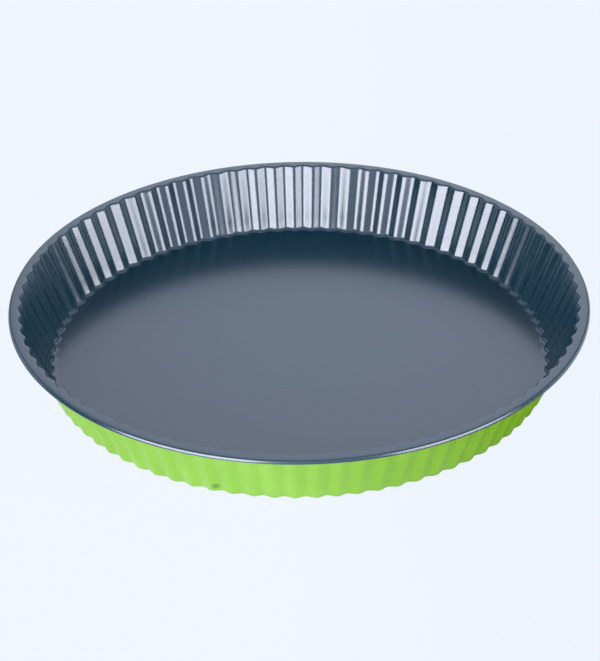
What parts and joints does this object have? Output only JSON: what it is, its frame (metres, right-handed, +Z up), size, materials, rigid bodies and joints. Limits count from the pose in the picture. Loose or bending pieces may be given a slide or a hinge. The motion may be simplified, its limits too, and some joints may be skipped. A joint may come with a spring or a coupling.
{
  "type": "cake tin",
  "caption": "Round shallow cake tin pressed from one sheet, with a flat floor, a sloping fluted wall, a narrow flat flange and a turned-down lip.",
  "frame": {"origin": "middle of the underside, where the tin stands", "axes": "+Z up, out of the mouth; +X through the crest of a flute"},
  "size_m": [0.28, 0.28, 0.0331],
  "materials": {
    "coated_steel": "blue-grey metallic non-stick coat inside and on the flange and lip, satin lime green coat outside"
  },
  "bodies": {
    "root": {"fluted_tin": "coated_steel"}
  },
  "joints": []
}
